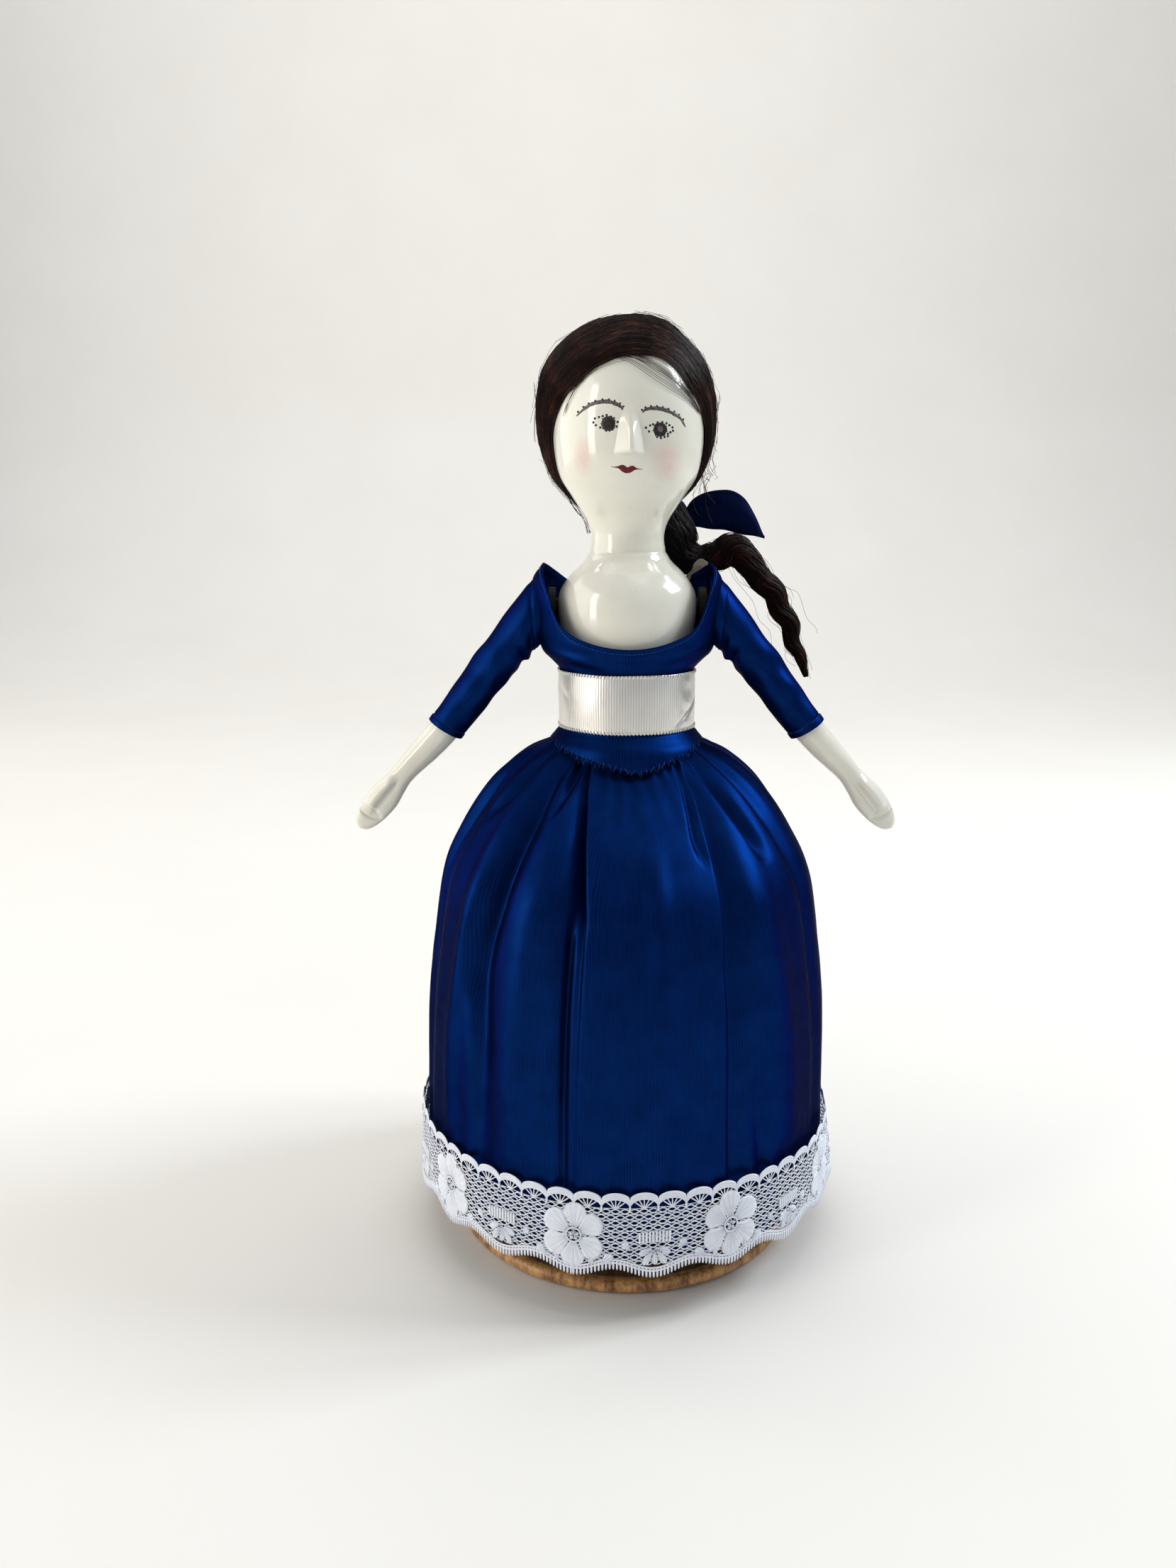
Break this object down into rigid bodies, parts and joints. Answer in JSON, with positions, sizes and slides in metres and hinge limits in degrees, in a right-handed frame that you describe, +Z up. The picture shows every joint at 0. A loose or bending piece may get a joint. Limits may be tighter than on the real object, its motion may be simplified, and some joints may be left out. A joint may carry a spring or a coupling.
{
  "type": "turned wooden doll",
  "caption": "Turned wooden dressing doll in a navy satin gown with sash and lace hem, jointed shoulders, on a round wooden base.",
  "frame": {"origin": "on the table under the centre of the base", "axes": "+Z up along the post, -Y the way the doll faces, +X towards the doll's left hand"},
  "size_m": [0.2152, 0.1664, 0.3549],
  "materials": {
    "felt": "matt felt",
    "stained_wood": "stained and waxed",
    "raw_wood": "bare turned wood",
    "steel": "zinc plated",
    "enamelled_wood": "gloss ivory enamel over wood",
    "navy_satin": "satin sheen",
    "cotton": "matt plain weave",
    "lace": "matt thread",
    "white_satin": "satin ribbon",
    "hair": "glossy strands",
    "ribbon": "satin ribbon"
  },
  "bodies": {
    "doll": {"base_felt": "felt", "base_disc": "stained_wood", "post_washer": "steel", "post_screw": "steel", "stand_post": "raw_wood", "torso": "enamelled_wood", "nose": "enamelled_wood", "hip_roll": "cotton", "petticoat": "cotton", "skirt": "navy_satin", "lace_trim": "lace", "bodice": "navy_satin", "bodice_lining": "cotton", "sash": "white_satin", "hair_cap": "hair", "hair_knot": "hair", "ponytail": "hair", "bow_knot": "ribbon", "bow_loop_left": "ribbon", "bow_loop_right": "ribbon"},
    "shoulder_left": {"shoulder_peg_left": "raw_wood"},
    "upper_limb_left": {"arm_left": "enamelled_wood", "shoulder_pin_left": "raw_wood", "sleeve_left": "navy_satin"},
    "shoulder_right": {"shoulder_peg_right": "raw_wood"},
    "upper_limb_right": {"arm_right": "enamelled_wood", "shoulder_pin_right": "raw_wood", "sleeve_right": "navy_satin"}
  },
  "joints": [
    {"name": "shoulder_swing_left", "type": "hinge", "parent": "doll", "child": "shoulder_left", "pos_m": [0.03, 0, 0.25], "axis": [-1, 0, 0], "range_deg": [-20, 60], "deforming": ["sleeve_left"]},
    {"name": "shoulder_raise_left", "type": "hinge", "parent": "shoulder_left", "child": "upper_limb_left", "pos_m": [0.036, 0, 0.25], "axis": [0, -1, 0], "range_deg": [-12, 50], "deforming": ["sleeve_left"]},
    {"name": "shoulder_swing_right", "type": "hinge", "parent": "doll", "child": "shoulder_right", "pos_m": [-0.03, 0, 0.25], "axis": [-1, 0, 0], "range_deg": [-20, 60], "deforming": ["sleeve_right"]},
    {"name": "shoulder_raise_right", "type": "hinge", "parent": "shoulder_right", "child": "upper_limb_right", "pos_m": [-0.036, 0, 0.25], "axis": [0, 1, 0], "range_deg": [-12, 50], "deforming": ["sleeve_right"]}
  ]
}
